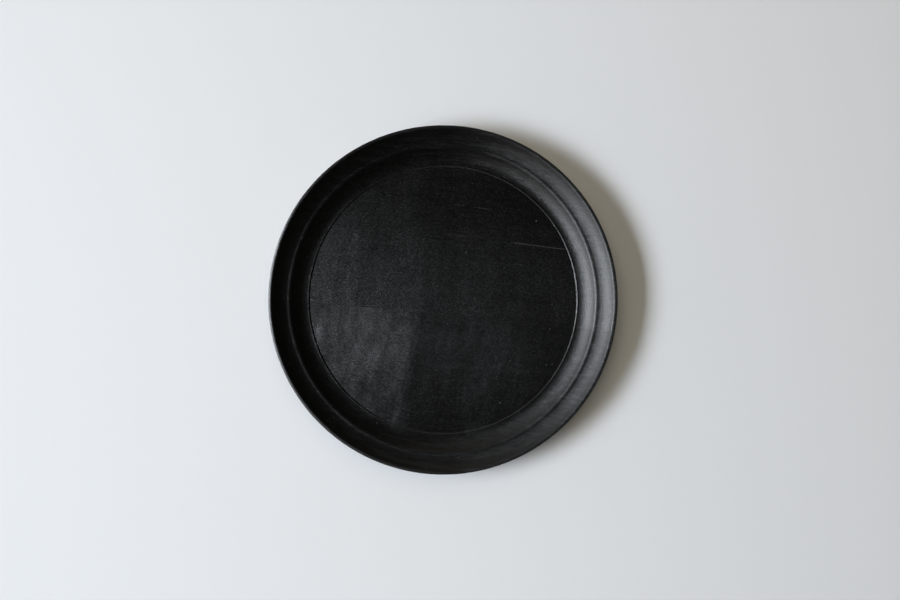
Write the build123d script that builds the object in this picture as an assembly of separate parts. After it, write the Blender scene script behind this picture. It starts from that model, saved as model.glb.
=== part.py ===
"""Round serving tray, lathe-turned from one blank that is edge-glued from two boards.

Millimetres. +Z is up, +X runs along the wood grain, and the origin is on the turning axis
at the bottom of the foot ring. The three solids are the rear board, the front board and the
film of cured glue between them. All three are slices of the same turned body.
"""

import os
from math import cos, radians, sin

from build123d import *

# Overall size
OUTER_R = 150.0
HEIGHT = 24.0

# Radii of the rings that the turner cut into the upper face
FLOOR_R = 115.8
INNER_COVE_START_R = 117.7
RIDGE_CREST_R = 133.6
LIP_CROWN_R = 147.9

# Slopes, in degrees from horizontal. A cove has three: where it starts, past its foot, and where
# it is steepest. The ridge between the coves falls away a little on its outer side.
STEP_SLOPE = 60.0
RIDGE_FALL = 5.0
INNER_COVE_SLOPES = (0.0, 8.0, 48.0)
OUTER_COVE_SLOPES = (-RIDGE_FALL, 16.0, 47.0)
LIP_OUTER_SLOPE = 30.0

# Small radii of the upper face
STEP_FOOT_R = 0.8
STEP_EDGE_R = 0.8
COVE_FOOT_R = 5.0
RIDGE_R = 3.4
LIP_INNER_R = 2.0

# Underside
RIM_EDGE_Z = 21.6
SHOULDER_R = 4.0
SHOULDER_TURN = 50.0
FLANK_BULGE_R = 90.0
FOOT_OUTER_R = 120.0
FOOT_WIDTH = 8.0
FOOT_GAP = 2.4
FOOT_SHELF_Z = 2.0
RECESS_Z = 1.6
FOOT_EDGE_R = 0.5
RECESS_CORNER_R = 1.0

# Glue joint, parallel to the grain
GLUE_Y = -13.1
GLUE_THICKNESS = 0.1


def rise(radius, slope):
    """Height gained along an arc that starts or ends horizontal and turns through a slope."""
    return radius * (1 - cos(radians(slope)))


def cove_radius(start_r, crest_r, slopes, edge_radius):
    """Radius of a cove that, with its foot and the rounding of its crest, spans two radii."""
    start, low, high = (sin(radians(slope)) for slope in slopes)
    foot_run = COVE_FOOT_R * (low - start)
    return (crest_r - start_r - foot_run - edge_radius * high) / (high - low)


def cove_rise(radius, slopes, edge_radius):
    """Height gained along a cove with its foot and the rounding of its crest."""
    start, low, high = slopes
    foot_rise = rise(COVE_FOOT_R, low) - rise(COVE_FOOT_R, start)
    main_rise = rise(radius, high) - rise(radius, low)
    return foot_rise + main_rise + rise(edge_radius, high)


outer_cove_start_r = RIDGE_CREST_R + RIDGE_R * sin(radians(RIDGE_FALL))
inner_cove_radius = cove_radius(INNER_COVE_START_R, RIDGE_CREST_R, INNER_COVE_SLOPES, RIDGE_R)
outer_cove_radius = cove_radius(outer_cove_start_r, LIP_CROWN_R, OUTER_COVE_SLOPES, LIP_INNER_R)

step_rise = rise(STEP_FOOT_R + STEP_EDGE_R, STEP_SLOPE)
inner_cove_rise = cove_rise(inner_cove_radius, INNER_COVE_SLOPES, RIDGE_R)
outer_cove_rise = cove_rise(outer_cove_radius, OUTER_COVE_SLOPES, LIP_INNER_R)
ridge_drop = rise(RIDGE_R, RIDGE_FALL)
floor_z = HEIGHT - step_rise - inner_cove_rise + ridge_drop - outer_cove_rise


def cove_outline(start_point, radius, slopes, edge_radius):
    """A cove's foot, the cove, and the rounding of its crest, which ends level."""
    start, low, high = slopes
    heading = (cos(radians(start)), sin(radians(start)))
    foot = JernArc(start_point, heading, COVE_FOOT_R, low - start)
    cove = JernArc(foot @ 1, foot % 1, radius, high - low)
    crest = JernArc(cove @ 1, cove % 1, edge_radius, -high)
    return [foot, cove, crest]


def upper_outline():
    """Edges of the upper face, from the turning axis out to the lip's crown."""
    floor = Line((0, floor_z), (FLOOR_R, floor_z))
    step_foot = JernArc(floor @ 1, (1, 0), STEP_FOOT_R, STEP_SLOPE)
    step_edge = JernArc(step_foot @ 1, step_foot % 1, STEP_EDGE_R, -STEP_SLOPE)
    land = Line(step_edge @ 1, (INNER_COVE_START_R, floor_z + step_rise))
    inner_cove = cove_outline(land @ 1, inner_cove_radius, INNER_COVE_SLOPES, RIDGE_R)
    ridge_back = JernArc(inner_cove[-1] @ 1, (1, 0), RIDGE_R, -RIDGE_FALL)
    outer_cove = cove_outline(ridge_back @ 1, outer_cove_radius, OUTER_COVE_SLOPES, LIP_INNER_R)
    return [floor, step_foot, step_edge, land, *inner_cove, ridge_back, *outer_cove]


def lip_outline(crown):
    """Edges of the lip's outer face, from its crown over to the shoulder under the rim."""
    side_turn = 90 - LIP_OUTER_SLOPE
    reach = OUTER_R - LIP_CROWN_R
    nose_share = 1 - sin(radians(LIP_OUTER_SLOPE))
    nose_radius = 0.25 * reach
    outer_radius = (reach - nose_radius * nose_share) / sin(radians(LIP_OUTER_SLOPE))
    outer = JernArc(crown, (1, 0), outer_radius, -LIP_OUTER_SLOPE)
    nose = JernArc(outer @ 1, outer % 1, nose_radius, -side_turn)
    side = Line(nose @ 1, (OUTER_R, RIM_EDGE_Z))
    shoulder = JernArc(side @ 1, (0, -1), SHOULDER_R, -SHOULDER_TURN)
    return [outer, nose, side, shoulder]


def under_outline(shoulder_end):
    """Edges of the underside, from the shoulder in to the turning axis, with a foot ring."""
    shelf_r = FOOT_OUTER_R + FOOT_GAP
    foot_inner_r = FOOT_OUTER_R - FOOT_WIDTH
    flank = RadiusArc(shoulder_end, (shelf_r, FOOT_SHELF_Z), FLANK_BULGE_R)
    shelf = Line(flank @ 1, (FOOT_OUTER_R, FOOT_SHELF_Z))
    outer_side = Line(shelf @ 1, (FOOT_OUTER_R, FOOT_EDGE_R))
    outer_edge = JernArc(outer_side @ 1, (0, -1), FOOT_EDGE_R, -90)
    sole = Line(outer_edge @ 1, (foot_inner_r + FOOT_EDGE_R, 0))
    inner_edge = JernArc(sole @ 1, (-1, 0), FOOT_EDGE_R, -90)
    inner_side = Line(inner_edge @ 1, (foot_inner_r, RECESS_Z - RECESS_CORNER_R))
    corner = JernArc(inner_side @ 1, (0, 1), RECESS_CORNER_R, 90)
    recess = Line(corner @ 1, (0, RECESS_Z))
    return [flank, shelf, outer_side, outer_edge, sole, inner_edge, inner_side, corner, recess]


def turned_body():
    """The whole tray as one revolved solid, before it is parted along the glue joint."""
    upper = upper_outline()
    lip = lip_outline(upper[-1] @ 1)
    under = under_outline(lip[-1] @ 1)
    axis_line = Line(under[-1] @ 1, upper[0] @ 0)
    section = make_face([*upper, *lip, *under, axis_line])
    return revolve(Plane.XZ * section, Axis.Z)


def slab(low_y, high_y):
    """A block wider and taller than the tray that spans from low_y to high_y."""
    margin = 10.0
    side = 2 * (OUTER_R + margin)
    block = Box(side, high_y - low_y, HEIGHT + 2 * margin)
    return Pos(0, (low_y + high_y) / 2, HEIGHT / 2) * block


def main():
    body = turned_body()
    beyond = OUTER_R + 5.0
    glue_front = GLUE_Y - GLUE_THICKNESS / 2
    glue_rear = GLUE_Y + GLUE_THICKNESS / 2
    nodes = {
        "rear_board": body & slab(glue_rear, beyond),
        "front_board": body & slab(-beyond, glue_front),
        "glue_line": body & slab(glue_front, glue_rear),
    }
    os.makedirs("parts", exist_ok=True)
    for name, shape in nodes.items():
        export_step(shape, f"parts/{name}.step")
    print(f"floor at {floor_z:.2f} mm, floor thickness {floor_z - RECESS_Z:.2f} mm")
    print(f"cove radii {inner_cove_radius:.2f} and {outer_cove_radius:.2f} mm")


main()
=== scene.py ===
"""Looks of the round serving tray: lathe-turned wood under a black stain, in soft window light.

Metres, in the frame of the CAD model: +Z points up out of the bowl, +X runs along the wood grain
and the glue line, and the origin is on the turning axis, in the plane of the foot ring's sole.
"""

from math import asin, atan2, ceil, cos, degrees, pi, radians, sin

import bmesh
import bpy
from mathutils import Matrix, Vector


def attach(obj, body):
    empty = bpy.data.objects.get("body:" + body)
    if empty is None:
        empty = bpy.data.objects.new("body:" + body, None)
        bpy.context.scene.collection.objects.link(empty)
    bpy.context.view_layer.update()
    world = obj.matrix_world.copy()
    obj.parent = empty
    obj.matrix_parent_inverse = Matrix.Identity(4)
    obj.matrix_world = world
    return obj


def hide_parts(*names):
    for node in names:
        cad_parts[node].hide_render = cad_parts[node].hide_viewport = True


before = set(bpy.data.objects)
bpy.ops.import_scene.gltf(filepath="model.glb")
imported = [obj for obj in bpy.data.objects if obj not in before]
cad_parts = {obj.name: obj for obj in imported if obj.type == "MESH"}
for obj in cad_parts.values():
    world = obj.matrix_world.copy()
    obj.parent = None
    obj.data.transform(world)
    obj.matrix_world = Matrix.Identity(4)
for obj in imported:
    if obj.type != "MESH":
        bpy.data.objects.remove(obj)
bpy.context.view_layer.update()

BODY = "root"
MM = 0.001

# ---------------------------------------------------------------- turned section, in millimetres

OUTER_R = 150.0
HEIGHT = 24.0
FLOOR_R = 115.8
INNER_COVE_START_R = 117.7
RIDGE_CREST_R = 133.6
LIP_CROWN_R = 147.9

STEP_SLOPE = 60.0
RIDGE_FALL = 5.0
INNER_COVE_SLOPES = (0.0, 8.0, 48.0)
OUTER_COVE_SLOPES = (-RIDGE_FALL, 16.0, 47.0)
LIP_OUTER_SLOPE = 30.0
LIP_NOSE_SHARE = 0.25

STEP_FOOT_R = 0.8
STEP_EDGE_R = 0.8
COVE_FOOT_R = 5.0
RIDGE_R = 3.4
LIP_INNER_R = 2.0

RIM_EDGE_Z = 21.6
SHOULDER_R = 4.0
SHOULDER_TURN = 50.0
FLANK_BULGE_R = 90.0
FOOT_OUTER_R = 120.0
FOOT_WIDTH = 8.0
FOOT_GAP = 2.4
FOOT_SHELF_Z = 2.0
RECESS_Z = 1.6
FOOT_EDGE_R = 0.5
RECESS_CORNER_R = 1.0

GLUE_Y = -13.1
GLUE_THICKNESS = 0.1

# Mesh density: faces round the axis, and the longest step of an arc in millimetres and degrees
SEGMENTS = 576
ARC_STEP = 1.0
ARC_TURN_STEP = 9.0
FEWEST_ARC_STEPS = 3
# Rings of faces across the flat floor and across the recess below it
FLAT_RINGS = 6
# Straight stretches have a ring this close to each end, unless they are too short for that
HOLD = 0.15
SHORTEST_HELD = 0.5
# Edges that turn more than this, in degrees, are shaded sharp
SHARP_ANGLE = 35.0


class Outline:
    """A line in (radius, height) made of straight and round stretches, drawn with a heading."""

    def __init__(self, radius, height, heading):
        self.points = [Vector((radius, height))]
        self.heading = heading

    @property
    def end(self):
        return self.points[-1]

    def line_to(self, radius, height, rings=1):
        """A straight stretch, held by a ring near each end so that its shading stays flat."""
        start = self.end.copy()
        goal = Vector((radius, height))
        run = goal - start
        self.heading = degrees(atan2(run.y, run.x))
        hold = HOLD / run.length
        inner = [i / rings for i in range(1, rings)]
        shares = [hold, *inner, 1 - hold] if run.length > SHORTEST_HELD else []
        self.points += [start + run * share for share in [*shares, 1]]

    def arc(self, radius, turn):
        """A round stretch that starts along the heading and turns left for a positive turn."""
        side = 1 if turn > 0 else -1
        heading = radians(self.heading)
        centre = self.end + side * radius * Vector((-sin(heading), cos(heading)))
        length = radius * radians(abs(turn))
        by_length = ceil(length / ARC_STEP)
        by_turn = ceil(abs(turn) / ARC_TURN_STEP)
        steps = max(FEWEST_ARC_STEPS, by_length, by_turn)
        for i in range(1, steps + 1):
            angle = heading + radians(turn) * i / steps
            self.points.append(centre - side * radius * Vector((-sin(angle), cos(angle))))
        self.heading += turn

    def cove(self, radius, slopes, edge_radius):
        """A cove's foot, the cove, and the rounding of its crest, which ends level."""
        start, low, high = slopes
        self.arc(COVE_FOOT_R, low - start)
        self.arc(radius, high - low)
        self.arc(edge_radius, -high)

    def bow_to(self, radius, height, bow_radius):
        """An arc to a point that bulges to the left of the way there."""
        run = Vector((radius, height)) - self.end
        half_turn = degrees(asin(run.length / 2 / bow_radius))
        self.heading = degrees(atan2(run.y, run.x)) + half_turn
        self.arc(bow_radius, -2 * half_turn)


def rise(radius, slope):
    """Height gained along an arc that starts or ends horizontal and turns through a slope."""
    return radius * (1 - cos(radians(slope)))


def cove_radius(start_r, crest_r, slopes, edge_radius):
    """Radius of a cove that, with its foot and the rounding of its crest, spans two radii."""
    start, low, high = (sin(radians(slope)) for slope in slopes)
    foot_run = COVE_FOOT_R * (low - start)
    return (crest_r - start_r - foot_run - edge_radius * high) / (high - low)


def cove_rise(radius, slopes, edge_radius):
    """Height gained along a cove with its foot and the rounding of its crest."""
    start, low, high = slopes
    foot_rise = rise(COVE_FOOT_R, low) - rise(COVE_FOOT_R, start)
    main_rise = rise(radius, high) - rise(radius, low)
    return foot_rise + main_rise + rise(edge_radius, high)


def section():
    """Points of the turned section, from the axis over the rim and back to the axis below."""
    inner_radius = cove_radius(INNER_COVE_START_R, RIDGE_CREST_R, INNER_COVE_SLOPES, RIDGE_R)
    ridge_end_r = RIDGE_CREST_R + RIDGE_R * sin(radians(RIDGE_FALL))
    outer_radius = cove_radius(ridge_end_r, LIP_CROWN_R, OUTER_COVE_SLOPES, LIP_INNER_R)
    step_rise = rise(STEP_FOOT_R + STEP_EDGE_R, STEP_SLOPE)
    inner_rise = cove_rise(inner_radius, INNER_COVE_SLOPES, RIDGE_R)
    outer_rise = cove_rise(outer_radius, OUTER_COVE_SLOPES, LIP_INNER_R)
    floor_z = HEIGHT - step_rise - inner_rise + rise(RIDGE_R, RIDGE_FALL) - outer_rise

    line = Outline(0, floor_z, 0)
    line.line_to(FLOOR_R, floor_z, rings=FLAT_RINGS)
    line.arc(STEP_FOOT_R, STEP_SLOPE)
    line.arc(STEP_EDGE_R, -STEP_SLOPE)
    line.line_to(INNER_COVE_START_R, line.end.y)
    line.cove(inner_radius, INNER_COVE_SLOPES, RIDGE_R)
    line.arc(RIDGE_R, -RIDGE_FALL)
    line.cove(outer_radius, OUTER_COVE_SLOPES, LIP_INNER_R)

    reach = OUTER_R - LIP_CROWN_R
    nose_radius = LIP_NOSE_SHARE * reach
    nose_share = 1 - sin(radians(LIP_OUTER_SLOPE))
    lip_radius = (reach - nose_radius * nose_share) / sin(radians(LIP_OUTER_SLOPE))
    line.arc(lip_radius, -LIP_OUTER_SLOPE)
    line.arc(nose_radius, LIP_OUTER_SLOPE - 90)
    line.line_to(OUTER_R, RIM_EDGE_Z)
    line.arc(SHOULDER_R, -SHOULDER_TURN)
    line.bow_to(FOOT_OUTER_R + FOOT_GAP, FOOT_SHELF_Z, FLANK_BULGE_R)

    foot_inner_r = FOOT_OUTER_R - FOOT_WIDTH
    line.line_to(FOOT_OUTER_R, FOOT_SHELF_Z)
    line.line_to(FOOT_OUTER_R, FOOT_EDGE_R)
    line.arc(FOOT_EDGE_R, -90)
    line.line_to(foot_inner_r + FOOT_EDGE_R, 0)
    line.arc(FOOT_EDGE_R, -90)
    line.line_to(foot_inner_r, RECESS_Z - RECESS_CORNER_R)
    line.arc(RECESS_CORNER_R, 90)
    line.line_to(0, RECESS_Z, rings=FLAT_RINGS)
    return line.points


def turned_mesh():
    """The whole tray as one closed bmesh in metres, before it is parted along the glue joint."""
    outline = section()
    mesh = bmesh.new()
    rings = []
    for point in outline[1:-1]:
        ring = []
        for i in range(SEGMENTS):
            angle = 2 * pi * i / SEGMENTS
            place = Vector((point.x * cos(angle), point.x * sin(angle), point.y))
            ring.append(mesh.verts.new(place * MM))
        rings.append(ring)
    top = mesh.verts.new((0, 0, outline[0].y * MM))
    bottom = mesh.verts.new((0, 0, outline[-1].y * MM))
    for i in range(SEGMENTS):
        j = (i + 1) % SEGMENTS
        mesh.faces.new((top, rings[0][i], rings[0][j]))
        mesh.faces.new((bottom, rings[-1][j], rings[-1][i]))
        for inner, outer in zip(rings, rings[1:]):
            mesh.faces.new((inner[i], outer[i], outer[j], inner[j]))
    return mesh


def slice_off(mesh, y, keep_above):
    """Cuts the mesh at a plane across Y, drops one side, and closes the cut with a flat face."""
    normal = (0, -1, 0) if keep_above else (0, 1, 0)
    everything = [*mesh.verts, *mesh.edges, *mesh.faces]
    cut = bmesh.ops.bisect_plane(
        mesh, geom=everything, plane_co=(0, y * MM, 0), plane_no=normal, clear_outer=True
    )
    edges = [item for item in cut["geom_cut"] if isinstance(item, bmesh.types.BMEdge)]
    bmesh.ops.triangle_fill(mesh, edges=edges, use_beauty=True, normal=normal)


def tray_piece(name, node, material, low_y=None, high_y=None):
    """One slice of the turned tray, cut off at one plane or two, that stands for its CAD node."""
    mesh = turned_mesh()
    if low_y is not None:
        slice_off(mesh, low_y, keep_above=True)
    if high_y is not None:
        slice_off(mesh, high_y, keep_above=False)
    bmesh.ops.recalc_face_normals(mesh, faces=mesh.faces)
    data = bpy.data.meshes.new(name)
    mesh.to_mesh(data)
    mesh.free()
    data.shade_smooth()
    data.set_sharp_from_angle(angle=radians(SHARP_ANGLE))
    data.materials.append(material)
    piece = bpy.data.objects.new(name, data)
    bpy.context.scene.collection.objects.link(piece)
    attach(piece, BODY)
    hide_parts(node)


# ---------------------------------------------------------------- shader helpers

# Sockets of the Mix node when it mixes colours
MIX_SHARE, MIX_A, MIX_B = 0, 6, 7
MIX_RESULT = 2


class Graph:
    """Adds shader nodes to one node tree. Its sums and patterns each give an output socket."""

    def __init__(self, owner):
        owner.use_nodes = True
        self.tree = owner.node_tree
        self.tree.nodes.clear()

    def node(self, kind, inputs, **settings):
        """Adds a node, sets it up, and gives its inputs their values or links."""
        made = self.tree.nodes.new(kind)
        for name, value in settings.items():
            setattr(made, name, value)
        for name, value in inputs.items():
            self.feed(made.inputs[name], value)
        return made

    def feed(self, socket, value):
        if isinstance(value, bpy.types.NodeSocket):
            self.tree.links.new(value, socket)
        else:
            socket.default_value = value

    def math(self, operation, *values):
        inputs = dict(enumerate(values))
        return self.node("ShaderNodeMath", inputs, operation=operation).outputs[0]

    def add(self, first, *others):
        total = first
        for other in others:
            total = self.math("ADD", total, other)
        return total

    def times(self, first, *others):
        product = first
        for other in others:
            product = self.math("MULTIPLY", product, other)
        return product

    def swing(self, pattern, amount):
        """A pattern of mean 0.5 as a value that swings round 0, over the given full range."""
        return self.times(self.add(pattern, -0.5), amount)

    def vector(self, operation, *values, scale=None):
        inputs = dict(enumerate(values))
        if scale is not None:
            inputs["Scale"] = scale
        made = self.node("ShaderNodeVectorMath", inputs, operation=operation)
        return made.outputs["Value" if operation == "DOT_PRODUCT" else "Vector"]

    def times_vector(self, vector, factor):
        return self.vector("SCALE", vector, scale=factor)

    def combine(self, x, y, z):
        return self.node("ShaderNodeCombineXYZ", {0: x, 1: y, 2: z}).outputs[0]

    def noise(self, vector, scale, detail, roughness):
        inputs = {"Vector": vector, "Scale": scale, "Detail": detail, "Roughness": roughness}
        return self.node("ShaderNodeTexNoise", inputs).outputs[0]

    def squeezed_noise(self, vector, squeeze, scale, detail, roughness):
        """Noise that is drawn out along an axis where squeeze is under 1."""
        return self.noise(self.vector("MULTIPLY", vector, squeeze), scale, detail, roughness)

    def spread(self, value, low, high, out_low=0.0, out_high=1.0, smooth=True):
        """Maps low..high to out_low..out_high and holds both ends."""
        inputs = {"Value": value, "From Min": low, "From Max": high, "To Min": out_low,
                  "To Max": out_high}
        kind = "SMOOTHSTEP" if smooth else "LINEAR"
        return self.node("ShaderNodeMapRange", inputs, interpolation_type=kind).outputs[0]

    def blend(self, share, a, b):
        """Colour a at share 0 and b at share 1."""
        made = self.node("ShaderNodeMix", {}, data_type="RGBA")
        self.feed(made.inputs[MIX_SHARE], share)
        self.feed(made.inputs[MIX_A], a)
        self.feed(made.inputs[MIX_B], b)
        return made.outputs[MIX_RESULT]


def grey(value, warmth=0.0):
    """A near-neutral colour that is a little redder than blue for a positive warmth."""
    return (value * (1 + warmth), value, value * (1 - warmth), 1.0)


# ---------------------------------------------------------------- directions

# How far the camera is turned from the grain, in degrees. The light is placed from it too.
ROLL = 5.58


def direction(azimuth, elevation):
    a = radians(azimuth)
    e = radians(elevation)
    return Vector((cos(e) * cos(a), cos(e) * sin(a), sin(e)))


# ---------------------------------------------------------------- stained wood

# Base colours: the stain's own range, then its flecks and streaks, painted highlight dashes, the
# step's corner worn and painted lighter as a highlight, pale grain where the stain is missing,
# and dust
STAIN = 0.0009
STAIN_DARKEST = grey(STAIN * 0.3)
STAIN_LIGHTEST = grey(STAIN * 2.6, 0.03)
FLECK_COLOUR = grey(0.010, 0.02)
STREAK_COLOUR = grey(0.007, 0.02)
PAINTED_SHEEN_DASH_COLOUR = grey(0.032, -0.04)
WORN_AND_HIGHLIT_COLOUR = grey(0.034, 0.02)
PALE_COLOUR = grey(0.050, 0.03)
DUST_COLOUR = grey(0.30)
# Levels of a pattern where its flecks, streaks or painted highlight dashes start to show, and
# show in full
FLECKS_SHOW = (0.52, 0.80)
STREAKS_SHOW = (0.50, 0.72)
PAINTED_SHEEN_DASHES_SHOW = (0.45, 0.68)

# The satin finish
WOOD_ROUGHNESS = 0.42
SPECULAR_TINT = (1.0, 0.98, 0.95, 1.0)

# Stands in for the radius near the axis, so that nothing is divided by zero, in metres
SMALLEST_RADIUS = 0.0005
# The coves' finish fades in over this stretch outside the floor, in millimetres
COVE_FINISH = (1.5, 9.0)
# The corner of the step, where the stain is worn and painted lighter as a highlight: middle and
# half width, in millimetres
WORN_AND_HIGHLIT_RING = (FLOOR_R + 0.6, 0.8)
# How far from the middle line the floor starts to be smoother, and how far it goes on, in metres
FLOOR_EDGE = (0.02, 0.108)
# The radii where the lip's rougher outer side starts and is in full, in metres
LIP_SIDE = (0.1475, 0.1485)
# The back of the tray, and how much a place on the coves faces it where the back's own finish,
# or the one across from it, starts and is in full, as cosines
BACK_AZIMUTH = ROLL + 115
BACK_SIDE = (0.5, 0.95)
FRONT_SIDE = (-0.4, -0.9)
# The window is towards -X, so the coves at +X face it: where along that way, as a cosine, the
# painted highlight dashes on them start to show, and show in full
WINDOW_SIDE = (0.45, 1.0)

# Patterns in the wood: squeeze along x, y and z, then scale per metre, detail and roughness
FIGURE = ((1.0, 0.28, 0.6), 120.0, 3.0, 0.60)
BROAD = ((1.0, 0.4, 1.0), 32.0, 1.0, 0.5)
FIBRE = ((0.16, 1.0, 0.30), 500.0, 3.0, 0.70)
FLECK = ((0.6, 1.0, 1.0), 1150.0, 2.0, 0.6)
TREE_RING = ((0.06, 1.0, 2.4), 210.0, 3.0, 0.6)
# Marks of the lathe and of sanding. A whole turn is a circle this large in the noise, in metres,
# which makes the marks long. Then scale, detail and roughness.
ARC_CIRCLE = 0.0045
ARCS = (620.0, 3.0, 0.75)

# Relief, in metres
FIBRE_HEIGHT = 0.000012
FLECK_HEIGHT = 0.000006

# Tilt of the shading normal, as a slope
FIGURE_KEPT_ON_COVES = 0.25
BROAD_TILT = 0.08
FIBRE_TILT = 0.06
FIBRE_TILT_MORE_ON_COVES = 0.06
RING_TILT_ON_COVES = 0.20
BACK_TILT = -0.08
FRONT_TILT = -0.04
COVE_TILT_ACROSS = -0.06
ARC_TILT = 0.08
ARC_TILT_MORE_ON_SIDE_GRAIN = 0.10
# How far the broad patches move the places where the fibres start to dive, in metres
BROAD_SHIFT = 0.020

# Changes of roughness
FLOOR_EDGE_ROUGH = -0.07
BACK_ROUGH = -0.08
LIP_SIDE_ROUGH = 0.10
END_GRAIN_ROUGH = 0.03
WINDOW_SIDE_ROUGH = 0.09
FIBRE_ROUGH = 0.12
RING_ROUGH = 0.05
FLECK_ROUGH = 0.05
ARC_ROUGH = 0.08
WORN_ROUGH = 0.10
DUST_ROUGH = 0.4

# The stain's shade: its middle, and how much each pattern swings it
SHADE_MIDDLE = 0.35
SHADE_BY_RING = 1.8
SHADE_BY_FLECK = 1.6
SHADE_BY_ARC = 1.2

# Short pale lines of grain in the rear board: start x, end x, y, half width and strength
PALE_GRAIN = [
    (0.0562, 0.1010, 0.0555, 0.00030, 0.9),
    (0.0598, 0.0668, 0.0373, 0.00025, 0.5),
    (0.0195, 0.0333, 0.0829, 0.00025, 0.5),
    (0.0020, 0.0105, 0.0838, 0.00025, 0.4),
    (-0.0047, 0.0143, 0.0575, 0.0010, 0.15),
]
# How much the pale lines lean from the board's length, waver across it, and fray at their ends
PALE_SLOPE = 0.03
PALE_WAVER = 0.0008
PALE_FRAY = 0.004

# Specks of dust: cells per metre, the share of cells with a speck, and its radius in cells
DUST_CELLS = 190.0
DUST_SHARE = 0.08
DUST_RADIUS = 0.045


def pale_grain(wood):
    """Sum of the masks of the short pale lines, each frayed at its ends and edges."""
    g = wood.g
    total = 0.0
    for start, end, height, half_width, strength in PALE_GRAIN:
        sag = g.times(g.add(wood.x, -start), PALE_SLOPE)
        waver = g.times(wood.ring, PALE_WAVER)
        away = g.math("ABSOLUTE", g.add(wood.y, sag, waver, -height - PALE_WAVER / 2))
        across = g.spread(away, half_width * 2, 0.0, 0.0, strength)
        frayed = g.add(wood.x, g.times(wood.ring, PALE_FRAY))
        begun = g.spread(frayed, start, start + PALE_FRAY)
        not_over = g.spread(frayed, end + PALE_FRAY, end)
        total = g.add(total, g.times(across, g.times(begun, not_over)))
    return total


def dust(wood):
    """Mask of loose specks of dust, a few tenths of a millimetre wide."""
    g = wood.g
    cells = g.node(
        "ShaderNodeTexVoronoi", {"Vector": wood.place, "Scale": DUST_CELLS},
        voronoi_dimensions="2D",
    )
    chance = g.node("ShaderNodeSeparateColor", {0: cells.outputs["Color"]}).outputs[0]
    size = g.spread(chance, DUST_SHARE, 0.0, 0.0, DUST_RADIUS, smooth=False)
    return g.math("LESS_THAN", cells.outputs["Distance"], size)


class Wood:
    """Places, masks and patterns of one board, shared by its tilt, colour and roughness.

    seed shifts all patterns, so that two boards differ. lean is the angle of the figure's bands
    from square across the grain.
    """

    def __init__(self, g, seed, lean):
        self.g = g
        self.place = g.node("ShaderNodeTexCoord", {}).outputs["Object"]
        shifted = g.vector("ADD", self.place, (seed, seed * 0.7, seed * 0.3))
        x, y, z = g.node("ShaderNodeSeparateXYZ", {0: self.place}).outputs
        self.x = x
        self.y = y
        distance = g.math("SQRT", g.add(g.times(x, x), g.times(y, y)))
        self.radius = g.math("MAXIMUM", distance, SMALLEST_RADIUS)
        self.outward = g.vector("NORMALIZE", g.combine(x, y, 0.0))

        start, full = ((FLOOR_R + margin) * MM for margin in COVE_FINISH)
        self.off_floor = g.spread(self.radius, start, full)
        self.on_floor = g.math("SUBTRACT", 1.0, self.off_floor)
        back = tuple(direction(BACK_AZIMUTH, 0))
        self.facing_back = g.vector("DOT_PRODUCT", self.outward, back)

        # The coves cut end grain where they face along X, and side grain where they face along Y
        self.toward_x = g.math("DIVIDE", x, self.radius)
        self.end_grain = g.times(self.toward_x, self.toward_x)
        self.side_grain = g.math("POWER", g.math("SUBTRACT", 1.0, self.end_grain), 2.0)

        # Curly figure: bands across the grain, and broad patches of them
        across = g.add(x, g.times(y, -sin(radians(lean))), seed)
        figure_place = g.combine(across, y, z)
        self.figure = g.squeezed_noise(figure_place, *FIGURE)
        self.broad = g.squeezed_noise(figure_place, *BROAD)

        # Fibres along the grain, fine flecks, and rings of the tree
        self.fibre = g.squeezed_noise(shifted, *FIBRE)
        self.fleck = g.squeezed_noise(shifted, *FLECK)
        self.ring = g.squeezed_noise(shifted, *TREE_RING)

        # Marks of the turning and the sanding, in arcs round the axis
        around = g.times_vector(self.outward, ARC_CIRCLE)
        arc_place = g.vector("ADD", around, g.combine(0.0, 0.0, self.radius))
        self.arcs = g.noise(arc_place, *ARCS)

    def on_coves(self, mask, *others):
        """A mask or an amount that only counts off the floor."""
        return self.g.times(self.off_floor, mask, *others)

    def worn_and_highlit_edge(self):
        """Mask of the step's corner where it runs along the grain: worn, and painted lighter as a
        highlight of its edge.
        """
        g = self.g
        middle, half_width = WORN_AND_HIGHLIT_RING
        away = g.math("ABSOLUTE", g.add(self.radius, -middle * MM))
        return g.times(g.spread(away, half_width * MM, 0.0), self.side_grain)


def fibre_dive(wood, lie, dips, sway, fades):
    """How much the fibres dive towards -X, which changes abruptly at places along the board."""
    g = wood.g
    along = g.add(wood.x, g.swing(wood.broad, BROAD_SHIFT), g.times(wood.y, sway))
    dive = lie
    for start, end, amount in dips:
        dive = g.add(dive, g.spread(along, start, end, 0.0, amount))
    for start, end, amount in fades:
        dive = g.add(dive, g.spread(wood.y, start, end, 0.0, amount))
    return dive


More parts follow.
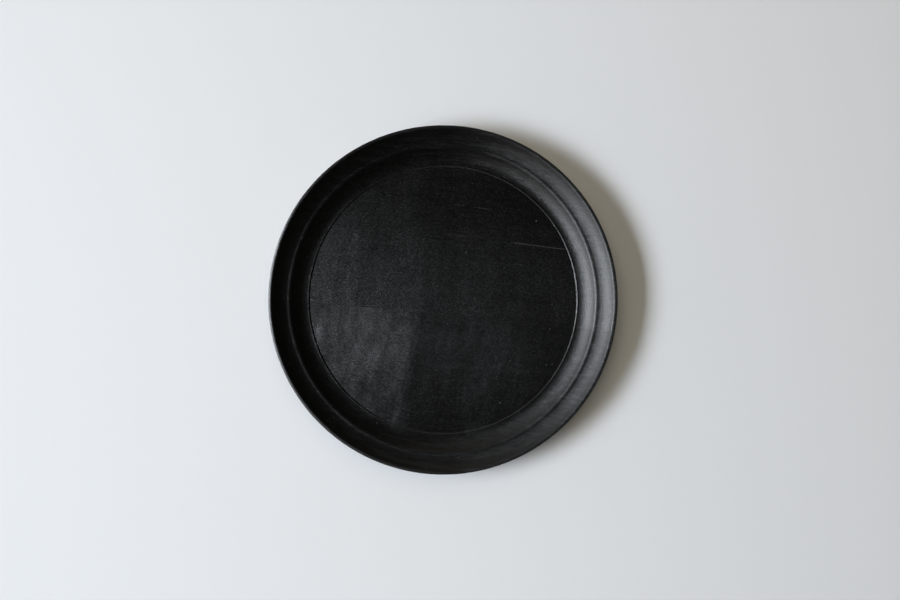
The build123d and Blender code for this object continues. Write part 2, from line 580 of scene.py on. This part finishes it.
def wood_normal(wood, dive, curl, speckle):
    """Shading normal: the surface's own, with its relief, the tilt of the fibres and the arcs."""
    g = wood.g
    relief = g.add(g.times(wood.fibre, FIBRE_HEIGHT), g.times(wood.fleck, FLECK_HEIGHT))
    bump = g.node("ShaderNodeBump", {"Height": relief, "Strength": 1.0, "Distance": 1.0})
    figure_kept = g.add(
        FIGURE_KEPT_ON_COVES, g.times(wood.on_floor, 1 - FIGURE_KEPT_ON_COVES)
    )
    fibre_tilt = g.add(FIBRE_TILT, g.times(wood.off_floor, FIBRE_TILT_MORE_ON_COVES))
    tilt = g.add(
        g.times(dive, wood.on_floor),
        g.times(g.swing(wood.figure, curl), figure_kept),
        g.swing(wood.broad, BROAD_TILT),
        g.swing(wood.fibre, fibre_tilt),
        g.swing(wood.fleck, speckle),
        wood.on_coves(g.spread(wood.facing_back, *BACK_SIDE, 0.0, BACK_TILT)),
        wood.on_coves(g.spread(wood.facing_back, *FRONT_SIDE, 0.0, FRONT_TILT)),
        wood.on_coves(wood.side_grain, g.swing(wood.ring, RING_TILT_ON_COVES)),
    )
    tilt_across = g.times(wood.off_floor, COVE_TILT_ACROSS)
    lean_vector = g.combine(g.times(tilt, -1.0), tilt_across, 0.0)
    arc_swing = g.add(ARC_TILT, g.times(wood.side_grain, ARC_TILT_MORE_ON_SIDE_GRAIN))
    arc_vector = g.times_vector(wood.outward, g.swing(wood.arcs, arc_swing))
    normal = g.vector("ADD", g.vector("ADD", bump.outputs[0], lean_vector), arc_vector)
    return g.vector("NORMALIZE", normal)


def wood_colour(wood, worn_and_highlit, specks):
    """The stain with its flecks, painted highlight dashes on the coves facing the window, worn
    and painted lighter as a highlight at the step, and dusty.
    """
    g = wood.g
    shade = g.add(
        SHADE_MIDDLE,
        g.swing(wood.ring, SHADE_BY_RING),
        g.swing(wood.fleck, SHADE_BY_FLECK),
        g.swing(wood.arcs, SHADE_BY_ARC),
    )
    flecks = g.spread(wood.fleck, *FLECKS_SHOW)
    streaks = wood.on_coves(wood.side_grain, g.spread(wood.ring, *STREAKS_SHOW))
    # Painted highlight: paler dashes along the fibres, only on the coves that face the window,
    # stand in for their broken sheen
    facing_window = g.spread(wood.toward_x, *WINDOW_SIDE)
    painted_sheen_dashes = wood.on_coves(facing_window, g.spread(wood.fibre, *PAINTED_SHEEN_DASHES_SHOW))
    layers = [
        (flecks, FLECK_COLOUR),
        (streaks, STREAK_COLOUR),
        (painted_sheen_dashes, PAINTED_SHEEN_DASH_COLOUR),
        # The step's corner: partly wear, partly a painted highlight of its edge
        (g.times(worn_and_highlit, wood.fleck), WORN_AND_HIGHLIT_COLOUR),
        (pale_grain(wood), PALE_COLOUR),
        (specks, DUST_COLOUR),
    ]
    colour = g.blend(shade, STAIN_DARKEST, STAIN_LIGHTEST)
    for share, layer_colour in layers:
        colour = g.blend(share, colour, layer_colour)
    return colour


def wood_roughness(wood, worn_and_highlit, specks):
    """Satin all over, smoother at the floor's edges, and uneven with the grain."""
    g = wood.g
    near_edge = g.spread(g.math("ABSOLUTE", wood.y), *FLOOR_EDGE)
    return g.add(
        WOOD_ROUGHNESS,
        g.times(near_edge, wood.on_floor, FLOOR_EDGE_ROUGH),
        wood.on_coves(g.spread(wood.facing_back, *BACK_SIDE, 0.0, BACK_ROUGH)),
        g.spread(wood.radius, *LIP_SIDE, 0.0, LIP_SIDE_ROUGH),
        wood.on_coves(g.times(wood.end_grain, END_GRAIN_ROUGH)),
        wood.on_coves(g.times(wood.toward_x, WINDOW_SIDE_ROUGH)),
        wood.on_coves(g.swing(wood.fibre, FIBRE_ROUGH)),
        g.swing(wood.ring, RING_ROUGH),
        g.swing(wood.fleck, FLECK_ROUGH),
        g.swing(wood.arcs, ARC_ROUGH),
        g.times(worn_and_highlit, WORN_ROUGH),
        g.times(specks, DUST_ROUGH),
    )


def stained_wood(name, seed, lean, curl, sheen, speckle, lie, dips, sway, fades):
    """Black-stained, satin, close-grained wood with a curly figure.

    For seed and lean, see Wood. curl is the strength of the figure's bands, sheen the specular
    level, and speckle the strength of the fine flecks. The fibres do not run quite level: where
    they dive, the wood reflects as if it were tilted towards -X. lie is that tilt at the board's
    low-x end, and dips lists how it changes along the grain, as start x, end x and amount. sway
    shifts these places with y. fades lists changes across the grain, as start y, end y and
    amount.
    """
    material = bpy.data.materials.new(name)
    g = Graph(material)
    wood = Wood(g, seed, lean)
    worn_and_highlit = wood.worn_and_highlit_edge()
    specks = dust(wood)
    dive = fibre_dive(wood, lie, dips, sway, fades)
    surface = g.node(
        "ShaderNodeBsdfPrincipled",
        {"Base Color": wood_colour(wood, worn_and_highlit, specks),
         "Roughness": wood_roughness(wood, worn_and_highlit, specks),
         "Normal": wood_normal(wood, dive, curl, speckle),
         "Specular IOR Level": sheen, "Specular Tint": SPECULAR_TINT},
    )
    g.node("ShaderNodeOutputMaterial", {"Surface": surface.outputs[0]})
    return material


# The glue: its lumps' scale, detail and roughness, their height in metres, then its two colours,
# and the roughness at two levels of the lumps
GLUE_LUMPS = (700.0, 3.0, 0.6)
GLUE_LUMP_HEIGHT = 0.00001
GLUE_DARK = grey(0.005)
GLUE_PALE = grey(0.012, 0.12)
GLUE_LEVELS = (0.3, 0.7)
GLUE_ROUGHNESS = (0.36, 0.5)


def cured_glue():
    """Wood glue that the stain has darkened, with small lumps and a brownish tinge."""
    material = bpy.data.materials.new("glue")
    g = Graph(material)
    place = g.node("ShaderNodeTexCoord", {}).outputs["Object"]
    lumps = g.noise(place, *GLUE_LUMPS)
    colour = g.blend(lumps, GLUE_DARK, GLUE_PALE)
    relief = g.times(lumps, GLUE_LUMP_HEIGHT)
    bump = g.node("ShaderNodeBump", {"Height": relief, "Distance": 1.0})
    rough = g.spread(lumps, *GLUE_LEVELS, *GLUE_ROUGHNESS)
    surface = g.node(
        "ShaderNodeBsdfPrincipled",
        {"Base Color": colour, "Roughness": rough, "Normal": bump.outputs[0]},
    )
    g.node("ShaderNodeOutputMaterial", {"Surface": surface.outputs[0]})
    return material


# ---------------------------------------------------------------- stage, light and camera

# The camera looks straight down: focal length and sensor in millimetres, and in metres how high
# it is above the rim and how far off the axis, to the right and down in its own view
LENS = 50.0
SENSOR = 36.0
CAMERA_ABOVE_RIM = 1.0722
CAMERA_ASIDE = 0.0060
CAMERA_DOWN = 0.00004

# The window: where it is from the tray's middle, its width and height, how narrow its light is,
# and the spot on the table that it faces, to the right and up in the camera's view
KEY_AZIMUTH = 180 + ROLL + 15
KEY_ELEVATION = 34.5
KEY_DISTANCE = 3.2
KEY_SIZE = (3.0, 0.9)
KEY_SPREAD = 46.0
KEY_AIM = (-0.20, -0.42)
KEY_POWER = 18.5
KEY_COLOUR = (0.825, 0.897, 1.0)

# Light scattered by the ceiling and the walls
FILL_AZIMUTH = ROLL + 100
FILL_ELEVATION = 70
FILL_DISTANCE = 3.0
FILL_SIZE = 3.0
FILL_POWER = 24.0
FILL_COLOUR = (1.0, 0.92, 0.74)

# Pale patches of the room: azimuth, elevation, cosines at the edge and at full strength, strength
WALL_GLOW = (ROLL + 120, 0, 0.40, 1.00, 0.22)
SILL_GLOW = (ROLL + 182, 4, 0.80, 0.97, 0.7)
CORNER_GLOW = (ROLL + 224, 28, 0.89, 1.00, 0.50)
ROOM_LIGHT = 0.018
ROOM_COLOUR = (1.0, 0.94, 0.84, 1.0)

# The table top, in metres and as its colour
TABLE_HALF = 4.0
TABLE_COLOUR = (0.80, 0.80, 0.80, 1.0)
TABLE_ROUGHNESS = 0.7
TABLE_SHEEN = 0.2


def add_camera():
    data = bpy.data.cameras.new("camera")
    data.lens = LENS
    data.sensor_width = SENSOR
    camera = bpy.data.objects.new("camera", data)
    right = direction(ROLL, 0)
    up = direction(ROLL + 90, 0)
    camera.location = right * CAMERA_ASIDE - up * CAMERA_DOWN
    camera.location.z = HEIGHT * MM + CAMERA_ABOVE_RIM
    camera.rotation_euler = (0, 0, radians(ROLL))
    bpy.context.scene.collection.objects.link(camera)
    bpy.context.scene.camera = camera


def add_key_light():
    """The window: one wide soft light from the side, brightest where it faces the table."""
    data = bpy.data.lights.new("window", "AREA")
    data.shape = "RECTANGLE"
    data.size, data.size_y = KEY_SIZE
    data.energy = KEY_POWER
    data.color = KEY_COLOUR
    data.spread = radians(KEY_SPREAD)
    lamp = bpy.data.objects.new("window", data)
    lamp.location = direction(KEY_AZIMUTH, KEY_ELEVATION) * KEY_DISTANCE
    aim = direction(ROLL, 0) * KEY_AIM[0] + direction(ROLL + 90, 0) * KEY_AIM[1]
    lamp.rotation_euler = (lamp.location - aim).to_track_quat("Z", "Y").to_euler()
    lamp.visible_camera = False
    bpy.context.scene.collection.objects.link(lamp)


def add_fill_light():
    """Weak light scattered by the ceiling and the walls. It only fills the shadow."""
    data = bpy.data.lights.new("fill", "AREA")
    data.shape = "DISK"
    data.size = FILL_SIZE
    data.energy = FILL_POWER
    data.color = FILL_COLOUR
    lamp = bpy.data.objects.new("fill", data)
    towards = direction(FILL_AZIMUTH, FILL_ELEVATION)
    lamp.location = towards * FILL_DISTANCE
    lamp.rotation_euler = towards.to_track_quat("Z", "Y").to_euler()
    lamp.visible_camera = False
    lamp.visible_glossy = False
    bpy.context.scene.collection.objects.link(lamp)


def add_room():
    """The room's own light: dim, with pale patches on the walls and below the window."""
    world = bpy.data.worlds.new("room")
    bpy.context.scene.world = world
    g = Graph(world)
    ray = g.node("ShaderNodeTexCoord", {}).outputs["Generated"]
    light = ROOM_LIGHT
    for azimuth, elevation, edge, core, strength in (WALL_GLOW, SILL_GLOW, CORNER_GLOW):
        facing = g.vector("DOT_PRODUCT", ray, tuple(direction(azimuth, elevation)))
        light = g.add(light, g.spread(facing, edge, core, 0.0, strength))
    surface = g.node("ShaderNodeBackground", {"Color": ROOM_COLOUR, "Strength": light})
    g.node("ShaderNodeOutputWorld", {"Surface": surface.outputs[0]})


def add_floor():
    """A plain pale table top under the tray, far larger than the view."""
    signs = [(-1, -1), (1, -1), (1, 1), (-1, 1)]
    corners = [(x * TABLE_HALF, y * TABLE_HALF, 0) for x, y in signs]
    data = bpy.data.meshes.new("table_top")
    data.from_pydata(corners, [], [(0, 1, 2, 3)])
    material = bpy.data.materials.new("pale_paint")
    g = Graph(material)
    surface = g.node(
        "ShaderNodeBsdfPrincipled",
        {"Base Color": TABLE_COLOUR, "Roughness": TABLE_ROUGHNESS,
         "Specular IOR Level": TABLE_SHEEN},
    )
    g.node("ShaderNodeOutputMaterial", {"Surface": surface.outputs[0]})
    data.materials.append(material)
    floor = bpy.data.objects.new("table_top", data)
    bpy.context.scene.collection.objects.link(floor)


# ---------------------------------------------------------------- the scene

add_camera()
add_key_light()
add_fill_light()
add_room()
add_floor()
bpy.context.scene.view_settings.view_transform = "Standard"

# Where the fibres of each board dive, as stained_wood describes
REAR_DIPS = [
    (-0.081, -0.073, -0.035),
    (-0.070, -0.035, 0.025),
    (-0.060, 0.120, -0.118),
    (-0.035, -0.003, -0.050),
    (0.003, 0.020, 0.045),
]
FRONT_DIPS = [
    (-0.122, -0.100, 0.024),
    (-0.100, -0.085, 0.026),
    (-0.0320, -0.0150, -0.12),
    (0.0, 0.04, 0.05),
    (0.045, 0.105, -0.12),
]
REAR_FADES = [(0.0, 0.10, -0.085)]
FRONT_FADES = [(-0.04, -0.11, -0.040), (-0.036, -0.016, -0.040)]

rear_wood = stained_wood(
    "rear_wood", seed=1.7, lean=2.0, curl=0.18, sheen=1.0, speckle=0.46, lie=0.036,
    dips=REAR_DIPS, sway=0.10, fades=REAR_FADES,
)
front_wood = stained_wood(
    "front_wood", seed=4.3, lean=7.0, curl=0.24, sheen=0.80, speckle=0.28, lie=0.076,
    dips=FRONT_DIPS, sway=0.03, fades=FRONT_FADES,
)
glue = cured_glue()

glue_rear = GLUE_Y + GLUE_THICKNESS / 2
glue_front = GLUE_Y - GLUE_THICKNESS / 2
tray_piece("tray_rear_board", "rear_board", rear_wood, low_y=glue_rear)
tray_piece("tray_front_board", "front_board", front_wood, high_y=glue_front)
tray_piece("tray_glue_line", "glue_line", glue, low_y=glue_front, high_y=glue_rear)
